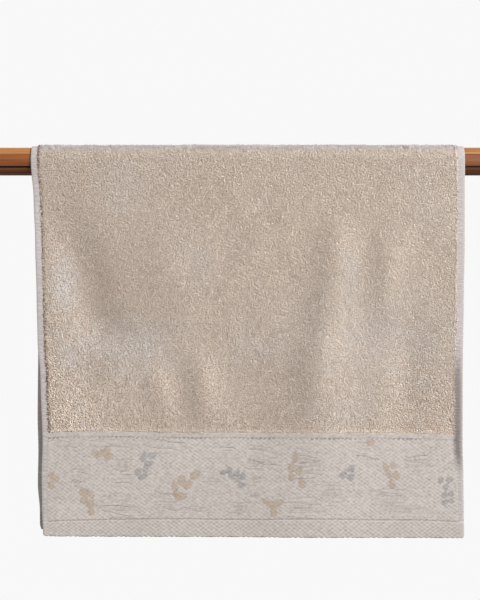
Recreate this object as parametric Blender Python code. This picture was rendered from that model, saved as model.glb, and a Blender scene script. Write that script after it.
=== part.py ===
"""A hand towel hung over a plain round wooden pole, in metres, +Z up.

The pole lies along X, with its left end face's centre at the origin. The towel's front faces -Y.
The towel is one closed sheet of cloth that falls in front, goes over the pole and falls behind it. Its
pile, flat side strips, border band and hems differ in thickness, and both falls hang in soft folds.
"""

import math
from collections import namedtuple

import bmesh
import bpy

# The pole
POLE_LENGTH = 0.600
POLE_RADIUS = 0.0158
POLE_SIDES = 48
JOINT_LINE_ANGLE = math.radians(28)  # below the level of the axis, on the front
JOINT_LINE_WIDTH = 0.0016
JOINT_LINE_DEPTH = 0.0012

# The towel: its falls are measured from the level of the pole's axis to the hem's edge
TOWEL_WIDTH = 0.490
FRONT_FALL = 0.4265
BACK_FALL = 0.4205
POLE_GAP = 0.0005  # between the pole and the cloth's inner face, at the facets' corners
WRAP_STEPS = 16
LEFT_EDGE = (POLE_LENGTH - TOWEL_WIDTH) / 2

# Cloth thickness by weave
PILE = 0.0030
PRESSED_PILE = 0.0023  # where it is pressed on the pole
SIDE_STRIP = 0.0013
FLAT_WEAVE = 0.0015
BAND = 0.0016
LINE = 0.0009  # the sunken lines on both sides of the band
HEM = 0.0024
SIDE_STRIP_WIDTH = 0.0085
PILE_EDGE = 0.0012  # the width over which the pile rises at its border

# The end of the towel, from the hem's edge up: where each zone ends, how thick it is, and the width of
# the step from there to the next zone's thickness
Zone = namedtuple("Zone", "name top thickness step")
END_ZONES = (
    Zone("hem", 0.0200, HEM, 0.0006),
    Zone("lower line", 0.0214, LINE, 0.0006),
    Zone("band", 0.1120, BAND, 0.0006),
    Zone("upper line", 0.1134, LINE, 0.0006),
    Zone("flat strip", 0.1190, FLAT_WEAVE, PILE_EDGE),
)
HEM_TOP = END_ZONES[0].top
PILE_START = END_ZONES[-1].top

# How far each fall's side edges are drawn in from the cut width, by the distance below the pole's axis.
# Right of the middle a positive value draws in to the left, and curl turns the edge away to the inside,
# or out where it is below 0.
Edge = namedtuple("Edge", "fall left_in right_in left_curl right_curl")
FRONT_EDGES = (
    Edge(0.000, 0.0000, 0.0000, 0.0000, 0.0000),
    Edge(0.045, 0.0035, 0.0000, 0.0008, 0.0000),
    Edge(0.090, 0.0051, 0.0000, 0.0008, 0.0000),
    Edge(0.157, 0.0067, 0.0010, 0.0000, 0.0000),
    Edge(0.200, 0.0074, 0.0016, 0.0008, 0.0000),
    Edge(0.255, 0.0114, 0.0028, 0.0010, -0.0032),
    Edge(0.305, 0.0130, 0.0032, 0.0010, -0.0038),
    Edge(0.345, 0.0134, 0.0014, 0.0010, 0.0000),
    Edge(0.430, 0.0140, 0.0002, 0.0010, 0.0000),
)
BACK_EDGES = (
    Edge(0.000, 0.0000, 0.0000, 0.0000, 0.0000),
    Edge(0.100, 0.0020, 0.0008, 0.0006, 0.0010),
    Edge(0.200, 0.0038, 0.0015, 0.0010, 0.0020),
    Edge(0.290, 0.0028, 0.0040, 0.0014, 0.0028),
    Edge(0.360, 0.0042, 0.0050, 0.0014, 0.0026),
    Edge(0.430, 0.0068, 0.0060, 0.0010, 0.0010),
)
CURL_REACH = 0.013  # how far in from the edge a curl begins

# How much lower than its cut length each end hangs, across the width: the border's lines, and the hem's
# edge, which rises where the corner turns.
Sag = namedtuple("Sag", "across lines edge")
FRONT_SAG = (
    Sag(0.000, 0.0022, -0.0008),
    Sag(0.060, 0.0006, -0.0003),
    Sag(0.200, 0.0000, 0.0000),
    Sag(0.400, 0.0006, 0.0004),
    Sag(0.490, 0.0034, 0.0010),
)
SAG_END = 0.220  # from the hem's edge up, where the sag has died away
CORNER_IN = 0.0020  # the hem's corners are rounded by this much
CORNER_HEIGHT = 0.0035

# The folds of each fall: soft ridges (lift above 0) and troughs (below 0), from head to foot. Places are
# measured from the cut left edge and from the pole's axis, down. A fade is the length over which a fold
# rises at its head or sinks at its foot.
Fold = namedtuple("Fold", "head_x head_fall foot_x foot_fall head_half_width foot_half_width lift"
                          " head_fade foot_fade")
FRONT_FOLDS = (
    Fold(0.036, 0.075, 0.070, 0.205, 0.027, 0.032, -0.0044, 0.110, 0.050),
    Fold(0.046, 0.215, 0.050, 0.285, 0.036, 0.036, -0.0026, 0.060, 0.060),
    Fold(0.134, 0.240, 0.142, 0.285, 0.016, 0.018, 0.0026, 0.050, 0.050),
    Fold(0.155, 0.090, 0.160, 0.200, 0.036, 0.040, 0.0020, 0.100, 0.060),
    Fold(0.188, 0.230, 0.192, 0.290, 0.018, 0.022, 0.0038, 0.050, 0.050),
    Fold(0.325, 0.215, 0.316, 0.480, 0.055, 0.065, 0.0050, 0.120, 0.080),
    Fold(0.346, 0.085, 0.321, 0.275, 0.019, 0.028, 0.0048, 0.070, 0.090),
    Fold(0.400, 0.240, 0.394, 0.300, 0.014, 0.016, 0.0012, 0.060, 0.060),
    Fold(0.405, 0.095, 0.401, 0.170, 0.015, 0.017, 0.0028, 0.060, 0.060),
    Fold(0.430, 0.180, 0.424, 0.300, 0.018, 0.022, -0.0022, 0.080, 0.060),
)
BACK_FOLDS = (
    Fold(0.070, 0.060, 0.055, 0.480, 0.030, 0.042, 0.0052, 0.080, 0.080),
    Fold(0.150, 0.080, 0.135, 0.480, 0.026, 0.038, -0.0058, 0.080, 0.080),
    Fold(0.245, 0.050, 0.262, 0.480, 0.034, 0.050, 0.0052, 0.080, 0.080),
    Fold(0.330, 0.100, 0.352, 0.480, 0.026, 0.040, -0.0052, 0.080, 0.080),
    Fold(0.430, 0.060, 0.418, 0.480, 0.028, 0.036, 0.0046, 0.080, 0.080),
)
HANG_IN = 0.0030  # each fall leans in by this much at its foot

# The grid of the cloth's faces
COLUMN_PITCH = 0.0165
FRONT_ROW_PITCH = 0.0200
BACK_ROW_PITCH = 0.0300
CENTRED_FALL = 0.050  # from here down the thickness is shared by both faces; above, the inner face is true

WOOD_COLOUR = (0.29, 0.13, 0.055, 1)
CLOTH_COLOUR = (0.51, 0.42, 0.35, 1)


def clear_scene():
    for thing in list(bpy.data.objects):
        bpy.data.objects.remove(thing, do_unlink=True)


def material(name, colour, roughness):
    made = bpy.data.materials.new(name)
    made.use_nodes = True
    shader = made.node_tree.nodes["Principled BSDF"]
    shader.inputs["Base Color"].default_value = colour
    shader.inputs["Roughness"].default_value = roughness
    shader.inputs["Metallic"].default_value = 0.0
    return made


def add_object(name, mesh, finish):
    thing = bpy.data.objects.new(name, mesh)
    bpy.context.collection.objects.link(thing)
    thing.data.materials.append(finish)
    return thing


def soft_step(value, low, high):
    """0 at low and 1 at high, level at both ends."""
    share = min(1.0, max(0.0, (value - low) / (high - low)))
    return share * share * (3 - 2 * share)


def read_table(rows, place, column):
    """The named column of a table, softly between the rows on both sides of a place in its first column."""
    last = rows[0]
    for row in rows[1:]:
        if place < row[0]:
            share = soft_step(place, last[0], row[0])
            return getattr(last, column) * (1 - share) + getattr(row, column) * share
        last = row
    return getattr(last, column)


def fold_depth(folds, across, fall):
    """How far the cloth stands out from its plain fall at one place."""
    out = 0.0
    for fold in folds:
        down = (fall - fold.head_fall) / (fold.foot_fall - fold.head_fall)
        share = min(1.0, max(0.0, down))
        middle = fold.head_x + (fold.foot_x - fold.head_x) * down
        half_width = fold.head_half_width + (fold.foot_half_width - fold.head_half_width) * share
        rise = soft_step(fall, fold.head_fall - fold.head_fade / 2, fold.head_fall + fold.head_fade / 2)
        sink = soft_step(fall, fold.foot_fall - fold.foot_fade / 2, fold.foot_fall + fold.foot_fade / 2)
        out += fold.lift * rise * (1 - sink) * math.exp(-(((across - middle) / half_width) ** 2))
    return out


def edge_curl(edges, across, fall):
    """How far the cloth turns to the inside near its side edges."""
    left = 1 - soft_step(across, 0.0, CURL_REACH)
    right = 1 - soft_step(TOWEL_WIDTH - across, 0.0, CURL_REACH)
    return left * read_table(edges, fall, "left_curl") + right * read_table(edges, fall, "right_curl")


def end_thickness(from_edge):
    """The thickness of the zone of the towel's end that lies this far from the hem's edge."""
    return next(zone.thickness for zone in END_ZONES if from_edge < zone.top)


def rows_of_fall(length, pitch):
    """The distances from the hem's edge at which the cloth has a row: the corner's, both sides of each
    step, and between them rows no further apart than the pitch."""
    marks = [0.0, CORNER_HEIGHT]
    for zone in END_ZONES:
        marks += [zone.top - zone.step / 2, zone.top + zone.step / 2]
    marks.append(length)
    rows = [0.0]
    for low, high in zip(marks, marks[1:]):
        steps = math.ceil((high - low) / pitch)
        rows += [low + (high - low) * step / steps for step in range(1, steps + 1)]
    return rows


def columns():
    """The distances across the cloth at which it has a column, with the side strips' edges among them."""
    inner = SIDE_STRIP_WIDTH + PILE_EDGE
    steps = math.ceil((TOWEL_WIDTH - 2 * inner) / COLUMN_PITCH)
    middle = [inner + (TOWEL_WIDTH - 2 * inner) * step / steps for step in range(steps + 1)]
    side = [0.0, SIDE_STRIP_WIDTH]
    return side + middle + [TOWEL_WIDTH - across for across in reversed(side)]


def thickness(across, from_edge, fall):
    """The cloth's thickness at one place, thinner on the side strips and where the pole presses the pile."""
    if min(across, TOWEL_WIDTH - across) <= SIDE_STRIP_WIDTH:
        return HEM if from_edge < HEM_TOP else SIDE_STRIP
    if from_edge < PILE_START:
        return end_thickness(from_edge)
    return PRESSED_PILE + (PILE - PRESSED_PILE) * soft_step(fall, 0.0, CENTRED_FALL)


def cloth_place(across, from_edge, side):
    """The two faces' points at one place of a fall. side is -1 in front and 1 behind."""
    front = side < 0
    length = FRONT_FALL if front else BACK_FALL
    edges = FRONT_EDGES if front else BACK_EDGES
    folds = FRONT_FOLDS if front else BACK_FOLDS
    fall = length - from_edge

    share = across / TOWEL_WIDTH
    left_in = read_table(edges, fall, "left_in") * (1 - share) ** 2
    right_in = read_table(edges, fall, "right_in") * share**2
    rounding = CORNER_IN * max(0.0, 1 - from_edge / CORNER_HEIGHT)
    if across == 0.0:
        left_in += rounding
    elif across == TOWEL_WIDTH:
        right_in += rounding
    x = LEFT_EDGE + across + left_in - right_in

    z = -fall
    if front:
        below_lines = 1 - soft_step(from_edge, 0.0, HEM_TOP)
        sag = read_table(FRONT_SAG, across, "lines") * (1 - below_lines)
        sag += read_table(FRONT_SAG, across, "edge") * below_lines
        z -= sag * (1 - soft_step(from_edge, PILE_START, SAG_END))

    reach = POLE_RADIUS + POLE_GAP
    reach += fold_depth(folds, across, fall) - edge_curl(edges, across, fall)
    reach -= HANG_IN * soft_step(fall, CENTRED_FALL, length)
    thick = thickness(across, from_edge, fall)
    inner = reach - soft_step(fall, 0.0, CENTRED_FALL) * thick / 2
    return (x, side * (inner + thick), z), (x, side * inner, z)


def wrap_place(across, angle):
    """The two faces' points where the cloth lies on the pole. angle turns from the front, over the top."""
    inner = POLE_RADIUS + POLE_GAP
    outer = inner + thickness(across, FRONT_FALL, 0.0)
    x = LEFT_EDGE + across
    return [(x, -radius * math.cos(angle), radius * math.sin(angle)) for radius in (outer, inner)]


def cloth_rows(side_columns):
    """All rows of the cloth, from the front hem over the pole to the back hem, as pairs of face points."""
    rows = [[cloth_place(across, row, -1) for across in side_columns]
            for row in rows_of_fall(FRONT_FALL, FRONT_ROW_PITCH)]
    for step in range(1, WRAP_STEPS):
        rows.append([wrap_place(across, math.pi * step / WRAP_STEPS) for across in side_columns])
    rows += [[cloth_place(across, row, 1) for across in side_columns]
             for row in reversed(rows_of_fall(BACK_FALL, BACK_ROW_PITCH))]
    return rows


def build_towel():
    """One closed sheet: an outer and an inner face, joined round the cloth's whole edge."""
    rows = cloth_rows(columns())
    mesh = bmesh.new()
    outer = [[mesh.verts.new(pair[0]) for pair in row] for row in rows]
    inner = [[mesh.verts.new(pair[1]) for pair in row] for row in rows]
    last_row, last_column = len(rows) - 1, len(rows[0]) - 1
    for row in range(last_row):
        for column in range(last_column):
            corners = ((row, column), (row, column + 1), (row + 1, column + 1), (row + 1, column))
            mesh.faces.new([outer[i][j] for i, j in corners])
            mesh.faces.new([inner[i][j] for i, j in reversed(corners)])
    for row in range(last_row):
        for column in (0, last_column):
            mesh.faces.new((outer[row][column], outer[row + 1][column],
                            inner[row + 1][column], inner[row][column]))
    for column in range(last_column):
        for row in (0, last_row):
            mesh.faces.new((outer[row][column], outer[row][column + 1],
                            inner[row][column + 1], inner[row][column]))
    bmesh.ops.recalc_face_normals(mesh, faces=mesh.faces)
    made = bpy.data.meshes.new("towel")
    mesh.to_mesh(made)
    mesh.free()
    made.shade_smooth()
    made.set_sharp_from_angle(angle=math.radians(50))
    return add_object("towel", made, material("terry cotton", CLOTH_COLOUR, 0.95))


def pole_outline():
    """The pole's round section, with the joint line's narrow groove let in low on its front."""
    half = JOINT_LINE_WIDTH / 2 / POLE_RADIUS
    points = []
    for step in range(POLE_SIDES):
        angle = JOINT_LINE_ANGLE + 2 * math.pi * step / POLE_SIDES
        if step == 0:
            depth = POLE_RADIUS - JOINT_LINE_DEPTH
            points += [(POLE_RADIUS, angle - half), (depth, angle), (POLE_RADIUS, angle + half)]
        else:
            points.append((POLE_RADIUS, angle))
    return [(-radius * math.cos(angle), -radius * math.sin(angle)) for radius, angle in points]


def build_pole():
    """A plain round pole along X, drawn as its section and pushed out to its length."""
    mesh = bmesh.new()
    section = [mesh.verts.new((0.0, y, z)) for y, z in pole_outline()]
    end = mesh.faces.new(section)
    grown = bmesh.ops.extrude_face_region(mesh, geom=[end])
    moved = [part for part in grown["geom"] if isinstance(part, bmesh.types.BMVert)]
    bmesh.ops.translate(mesh, verts=moved, vec=(POLE_LENGTH, 0, 0))
    bmesh.ops.recalc_face_normals(mesh, faces=mesh.faces)
    made = bpy.data.meshes.new("pole")
    mesh.to_mesh(made)
    mesh.free()
    made.shade_smooth()
    made.set_sharp_from_angle(angle=math.radians(30))
    return add_object("pole", made, material("varnished wood", WOOD_COLOUR, 0.35))


clear_scene()
build_pole()
build_towel()
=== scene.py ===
# %% [markdown]
# # A terry hand towel over a wooden pole
#
# This file is a lesson in cells. It dresses a imported model of two solids, a towel and a pole, with the
# looks of the real things: a cotton towel whose field is terry, with a woven border band at each end, and
# a varnished pole. We work in metres, X runs along the pole, the towel's front faces -Y and Z is up.
#
# First comes the frame: the solids as model.glb holds them. They stay where they are, and each new piece
# lies on one of them. We note the solids' box now.

# %% Load the frame
import math
from collections import namedtuple

import bmesh
import bpy
import numpy as np
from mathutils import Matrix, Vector


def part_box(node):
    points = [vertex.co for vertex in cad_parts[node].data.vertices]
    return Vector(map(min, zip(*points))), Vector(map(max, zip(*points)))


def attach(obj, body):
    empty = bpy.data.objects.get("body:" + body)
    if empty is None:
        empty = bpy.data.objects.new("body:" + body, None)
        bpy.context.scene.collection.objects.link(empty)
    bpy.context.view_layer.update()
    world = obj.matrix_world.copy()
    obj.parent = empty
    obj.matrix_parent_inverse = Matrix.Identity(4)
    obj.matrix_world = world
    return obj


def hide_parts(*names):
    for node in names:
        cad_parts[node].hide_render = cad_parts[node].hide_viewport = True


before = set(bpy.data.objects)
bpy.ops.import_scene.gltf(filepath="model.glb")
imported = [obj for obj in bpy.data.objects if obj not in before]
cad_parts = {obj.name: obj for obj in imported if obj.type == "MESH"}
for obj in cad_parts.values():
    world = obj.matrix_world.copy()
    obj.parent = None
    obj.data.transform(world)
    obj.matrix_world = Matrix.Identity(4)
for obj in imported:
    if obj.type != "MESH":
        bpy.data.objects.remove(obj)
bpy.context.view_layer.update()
pole_low, pole_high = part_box("pole")
towel_low, towel_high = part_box("towel")
POLE_LENGTH = pole_high[0] - pole_low[0]
POLE_RADIUS = (pole_high[2] - pole_low[2]) / 2
print(f"pole {POLE_LENGTH:.3f} m long, {2000 * POLE_RADIUS:.1f} mm across")
print(f"towel's solid {towel_high[0] - towel_low[0]:.3f} m wide, {towel_high[2] - towel_low[2]:.3f} m high")

# %% [markdown]
# ## How the cloth hangs
#
# A towel is one flat sheet, so every place on it has two numbers: how far it is across from the left edge,
# and how far it is along from the front hem, up, over the pole and down to the back hem. All that follows,
# the cloth, its loops and its stitches, is placed with those two numbers and a height above the cloth.
#
# The sheet could be draped by simulation, but this towel has its own few folds, and we want those: soft
# ridges and troughs, each with a head, a foot, a half width and a lift. They lie where the solid's do, and
# those in front are a little deeper than the solid's, as their shading asks.
#
# The tables give, by the distance below the pole's axis, how far each side edge is drawn in and curls, and,
# by the distance across, how far the border's lines and the hem's edge sag.

# %% The towel's sizes and folds
TOWEL_WIDTH = 0.490
FRONT_FALL = 0.4265
BACK_FALL = 0.4205
POLE_GAP = 0.0005
WRAP_RADIUS = POLE_RADIUS + POLE_GAP
PILE = 0.0030
PRESSED_PILE = 0.0023
WRAP_LENGTH = math.pi * (WRAP_RADIUS + PRESSED_PILE / 2)
LENGTH = FRONT_FALL + WRAP_LENGTH + BACK_FALL
LEFT_EDGE = (POLE_LENGTH - TOWEL_WIDTH) / 2
SIDE_STRIP = 0.0013
SIDE_STRIP_WIDTH = 0.0085
BORDER_STRIP_WIDTH = 0.0060
PILE_EDGE = 0.0012
HANG_IN = 0.0030
CENTRED_FALL = 0.050
LEFT_REACH, RIGHT_REACH = 0.0095, 0.0105
SAG_END = 0.220
CORNER_IN = 0.0020
CORNER_HEIGHT = 0.0035

Zone = namedtuple("Zone", "name top thickness step row")
END_ZONES = (
    Zone("hem", 0.0200, 0.0024, 0.0006, 0.0048),
    Zone("lower line", 0.0214, 0.0009, 0.0006, 0.0048),
    Zone("band", 0.1120, 0.0016, 0.0006, 0.0043),
    Zone("upper line", 0.1134, 0.0009, 0.0006, 0.0048),
    Zone("flat strip", 0.1190, 0.0015, PILE_EDGE, 0.0048),
)
HEM_TOP = END_ZONES[0].top
BAND_TOP = END_ZONES[2].top
PILE_START = END_ZONES[-1].top

Edge = namedtuple("Edge", "fall left_in right_in left_curl right_curl")
FRONT_EDGES = (
    Edge(0.000, 0.0000, 0.0000, 0.0000, 0.0000),
    Edge(0.045, 0.0035, 0.0000, -0.0010, 0.0000),
    Edge(0.090, 0.0051, 0.0000, -0.0012, 0.0000),
    Edge(0.157, 0.0067, 0.0010, -0.0008, 0.0000),
    Edge(0.200, 0.0076, 0.0016, -0.0004, 0.0000),
    Edge(0.250, 0.0106, 0.0028, 0.0000, -0.0052),
    Edge(0.320, 0.0128, 0.0028, 0.0000, -0.0052),
    Edge(0.355, 0.0118, 0.0012, 0.0000, 0.0000),
    Edge(0.385, 0.0122, 0.0008, 0.0000, 0.0000),
    Edge(0.430, 0.0136, 0.0002, 0.0000, 0.0000),
)
BACK_EDGES = (
    Edge(0.000, 0.0000, 0.0000, 0.0000, 0.0000),
    Edge(0.100, 0.0020, 0.0008, 0.0006, 0.0010),
    Edge(0.200, 0.0046, 0.0015, 0.0010, 0.0020),
    Edge(0.290, 0.0040, 0.0040, 0.0014, 0.0028),
    Edge(0.330, 0.0049, 0.0045, 0.0014, 0.0028),
    Edge(0.368, 0.0043, 0.0050, 0.0014, 0.0026),
    Edge(0.400, 0.0066, 0.0055, 0.0012, 0.0018),
    Edge(0.430, 0.0068, 0.0060, 0.0010, 0.0010),
)
Sag = namedtuple("Sag", "across upper_line lower_line edge")
FRONT_SAG = (
    Sag(0.000, 0.0005, 0.0022, -0.0021),
    Sag(0.030, -0.0010, 0.0012, -0.0018),
    Sag(0.060, -0.0016, 0.0005, -0.0016),
    Sag(0.085, -0.0016, 0.0000, -0.0015),
    Sag(0.130, -0.0007, -0.0006, -0.0014),
    Sag(0.175, -0.0001, -0.0007, -0.0013),
    Sag(0.205, -0.0003, 0.0000, -0.0012),
    Sag(0.250, 0.0001, 0.0000, -0.0012),
    Sag(0.300, 0.0000, -0.0009, -0.0011),
    Sag(0.340, 0.0001, -0.0008, -0.0009),
    Sag(0.390, 0.0003, 0.0004, -0.0005),
    Sag(0.430, 0.0010, 0.0006, -0.0002),
    Sag(0.490, 0.0026, 0.0024, 0.0002),
)
Fold = namedtuple("Fold", "head_x head_fall foot_x foot_fall head_half_width foot_half_width lift"
                          " head_fade foot_fade")
FRONT_FOLDS = (
    Fold(0.036, 0.075, 0.070, 0.205, 0.027, 0.032, -0.0044, 0.110, 0.050),
    Fold(0.046, 0.215, 0.050, 0.285, 0.036, 0.036, -0.0026, 0.060, 0.060),
    Fold(0.134, 0.240, 0.142, 0.285, 0.016, 0.018, 0.0026, 0.050, 0.050),
    Fold(0.155, 0.090, 0.160, 0.200, 0.036, 0.040, 0.0020, 0.100, 0.060),
    Fold(0.188, 0.230, 0.192, 0.290, 0.018, 0.022, 0.0038, 0.050, 0.050),
    Fold(0.325, 0.215, 0.316, 0.480, 0.055, 0.065, 0.0050, 0.120, 0.080),
    Fold(0.346, 0.085, 0.321, 0.275, 0.019, 0.028, 0.0048, 0.070, 0.090),
    Fold(0.400, 0.240, 0.394, 0.300, 0.014, 0.016, 0.0012, 0.060, 0.060),
    Fold(0.405, 0.095, 0.401, 0.170, 0.015, 0.017, 0.0028, 0.060, 0.060),
    Fold(0.430, 0.180, 0.424, 0.300, 0.018, 0.022, -0.0022, 0.080, 0.060),
)
BACK_FOLDS = (
    Fold(0.070, 0.060, 0.055, 0.480, 0.030, 0.042, 0.0052, 0.080, 0.080),
    Fold(0.150, 0.080, 0.135, 0.480, 0.026, 0.038, -0.0058, 0.080, 0.080),
    Fold(0.245, 0.050, 0.262, 0.480, 0.034, 0.050, 0.0052, 0.080, 0.080),
    Fold(0.330, 0.100, 0.352, 0.480, 0.026, 0.040, -0.0052, 0.080, 0.080),
    Fold(0.430, 0.060, 0.418, 0.480, 0.028, 0.036, 0.0046, 0.080, 0.080),
)
Crease = namedtuple("Crease", "fall from_x to_x half_height lift")
PRESS_CREASES = (
    Crease(0.203, 0.075, 0.240, 0.013, -0.0005),
    Crease(0.2525, 0.200, 0.390, 0.006, -0.00025),
)
CREASE_END = 0.05
FRONT_DEPTH = 1.08
print(f"cloth {TOWEL_WIDTH:.3f} m wide, {LENGTH:.3f} m long when flat")


# %% Where a place on the cloth lies
def soft_step(value, low, high):
    """0 at low and 1 at high, level at both ends."""
    share = np.clip((value - low) / (high - low), 0.0, 1.0)
    return share * share * (3 - 2 * share)


def read_table(rows, place, column):
    """The named column of a table, softly between rows, by the first column."""
    value = np.full(np.shape(place), float(getattr(rows[0], column)))
    for low, high in zip(rows, rows[1:]):
        value += (getattr(high, column) - getattr(low, column)) * soft_step(place, low[0], high[0])
    return value


def fold_depth(folds, across, fall):
    """How far the cloth stands out from its plain fall."""
    out = np.zeros(np.broadcast(across, fall).shape)
    for fold in folds:
        down = (fall - fold.head_fall) / (fold.foot_fall - fold.head_fall)
        middle = fold.head_x + (fold.foot_x - fold.head_x) * down
        widening = (fold.foot_half_width - fold.head_half_width) * np.clip(down, 0, 1)
        spread = (across - middle) / (fold.head_half_width + widening)
        rise = soft_step(fall, fold.head_fall - fold.head_fade / 2, fold.head_fall + fold.head_fade / 2)
        sink = soft_step(fall, fold.foot_fall - fold.foot_fade / 2, fold.foot_fall + fold.foot_fade / 2)
        out += fold.lift * rise * (1 - sink) * np.exp(-(spread**2))
    return out


def crease_depth(across, fall):
    """How far the front's faint level creases, pressed in when the towel lay folded, stand out."""
    out = np.zeros(np.broadcast(across, fall).shape)
    for crease in PRESS_CREASES:
        reach = soft_step(across, crease.from_x - CREASE_END / 2, crease.from_x + CREASE_END / 2)
        reach = reach * (1 - soft_step(across, crease.to_x - CREASE_END / 2, crease.to_x + CREASE_END / 2))
        out += crease.lift * reach * np.exp(-(((fall - crease.fall) / crease.half_height) ** 2))
    return out


def side_of(along, front, back):
    """A value of the front fall, or of the back fall past the middle of the pole."""
    return np.where(along < FRONT_FALL + WRAP_LENGTH / 2, front, back)


def fall_of(along):
    """How far below the pole's axis, 0 or less where the cloth lies on the pole."""
    return side_of(along, FRONT_FALL - along, along - FRONT_FALL - WRAP_LENGTH)


def lie(across, along):
    """The place in space of the cloth's reference face: the inner face on the pole, the middle below it."""
    fall = np.maximum(fall_of(along), 0)
    from_edge = np.minimum(along, LENGTH - along)
    share = across / TOWEL_WIDTH
    left_near = 1 - soft_step(across, 0.0, LEFT_REACH)
    right_near = 1 - soft_step(TOWEL_WIDTH - across, 0.0, RIGHT_REACH)

    def edge(column):
        return side_of(along, read_table(FRONT_EDGES, fall, column), read_table(BACK_EDGES, fall, column))

    front = FRONT_DEPTH * fold_depth(FRONT_FOLDS, across, fall) + crease_depth(across, fall)
    folds = side_of(along, front, fold_depth(BACK_FOLDS, across, fall))
    length = side_of(along, FRONT_FALL, BACK_FALL)
    reach = WRAP_RADIUS + folds - left_near * edge("left_curl") - right_near * edge("right_curl")
    reach = reach - HANG_IN * soft_step(fall, CENTRED_FALL, length)

    corner = CORNER_IN * np.maximum(0, 1 - from_edge / CORNER_HEIGHT) ** 2
    x = LEFT_EDGE + across + edge("left_in") * (1 - share) ** 2 - edge("right_in") * share**2
    x = x + corner * (left_near - right_near)

    over_hem, over_band = soft_step(from_edge, 0.0, HEM_TOP), soft_step(from_edge, HEM_TOP, BAND_TOP)
    sag = read_table(FRONT_SAG, across, "edge") * (1 - over_hem)
    sag = sag + read_table(FRONT_SAG, across, "lower_line") * over_hem * (1 - over_band)
    sag = sag + read_table(FRONT_SAG, across, "upper_line") * over_band
    sag = side_of(along, sag * (1 - soft_step(from_edge, PILE_START, SAG_END)), 0.0)

    turn = np.clip((along - FRONT_FALL) / WRAP_LENGTH, 0, 1) * math.pi
    return np.stack([x, -reach * np.cos(turn), reach * np.sin(turn) - fall - sag], axis=-1)


def unit(vectors):
    return vectors / np.linalg.norm(vectors, axis=-1, keepdims=True)


def cloth_axes(across, along):
    """At each place: the point, the ways across and along the cloth, and the way out of it."""
    reach = 1e-4
    point = lie(across, along)
    way_across = unit(lie(across + reach, along) - lie(across - reach, along))
    way_along = unit(lie(across, along + reach) - lie(across, along - reach))
    return point, way_across, way_along, unit(np.cross(way_across, way_along))


# %% [markdown]
# ## How thick the cloth is
#
# One cloth changes its weave from zone to zone. The end hem is turned twice and thick. A sunken line of
# drawn threads parts it from the border band, another parts the band from a narrow flat strip, and then
# the pile begins. The turned side hems have no pile. The loops are made later, as a mesh of their own, so
# where there is pile we keep the ground cloth lower by the loops' depth.

# %% The cloth's two faces
PILE_DEPTH = 0.0012
EDGE_ROUND = 0.0006


def from_sides(across):
    return np.minimum(across, TOWEL_WIDTH - across)


def from_ends(along):
    return np.minimum(along, LENGTH - along)


def strip_width(along):
    """How wide the flat side strips are: they narrow in the borders."""
    return np.where(from_ends(along) < PILE_START, BORDER_STRIP_WIDTH, SIDE_STRIP_WIDTH)


def pile_share(across, along):
    """1 where the cloth has pile, 0 where it is flat."""
    sides = soft_step(from_sides(across), SIDE_STRIP_WIDTH, SIDE_STRIP_WIDTH + PILE_EDGE)
    return sides * soft_step(from_ends(along), PILE_START - PILE_EDGE / 2, PILE_START + PILE_EDGE / 2)


def thickness(across, along):
    """The whole cloth's thickness, loops included."""
    from_end = from_ends(along)
    middle = np.full(np.shape(from_end), END_ZONES[0].thickness)
    last = PRESSED_PILE + (PILE - PRESSED_PILE) * soft_step(fall_of(along), 0.0, CENTRED_FALL)
    above = [zone.thickness for zone in END_ZONES[1:]] + [last]
    for zone, next_thickness in zip(END_ZONES, above):
        step = soft_step(from_end, zone.top - zone.step / 2, zone.top + zone.step / 2)
        middle = middle + (next_thickness - zone.thickness) * step
    strip = np.where(from_end < HEM_TOP, END_ZONES[0].thickness, SIDE_STRIP)
    width = strip_width(along)
    return strip + (middle - strip) * soft_step(from_sides(across), width, width + PILE_EDGE)


def face_heights(across, along):
    """The heights of the ground cloth's outer and inner face over the reference face."""
    thick = thickness(across, along)
    centred = soft_step(fall_of(along), 0.0, CENTRED_FALL)
    outer = thick * (1 - centred / 2) - PILE_DEPTH * pile_share(across, along)
    inner = -thick * centred / 2
    near = np.clip(np.minimum(from_sides(across), from_ends(along)) / EDGE_ROUND, 0, 1)
    full = 0.25 + 0.75 * np.sqrt(1 - (1 - near) ** 2)
    middle, half = (outer + inner) / 2, (outer - inner) / 2 * full
    return middle + half, middle - half


# %% [markdown]
# ## The woven border
#
# The border band is a fine diagonal twill, broken by calmer patches where long weft threads lie in wavy,
# nearly level lines, and small sprigs of leaves are woven in, in tan and in blue-grey. The hem is a check
# of two crossing twills. All of it could be an image, but a weave is simple arithmetic: we count the warp
# threads across and the weft threads up, and a rule on the two numbers says which thread lies on top.
#
# So the mesh of the front border has one vertex for each group of threads. Where a thread dives, its
# vertex is sunk a little. The charts below are in millimetres: across from the left edge, and up from the
# hem's edge, as the border hangs.

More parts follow.
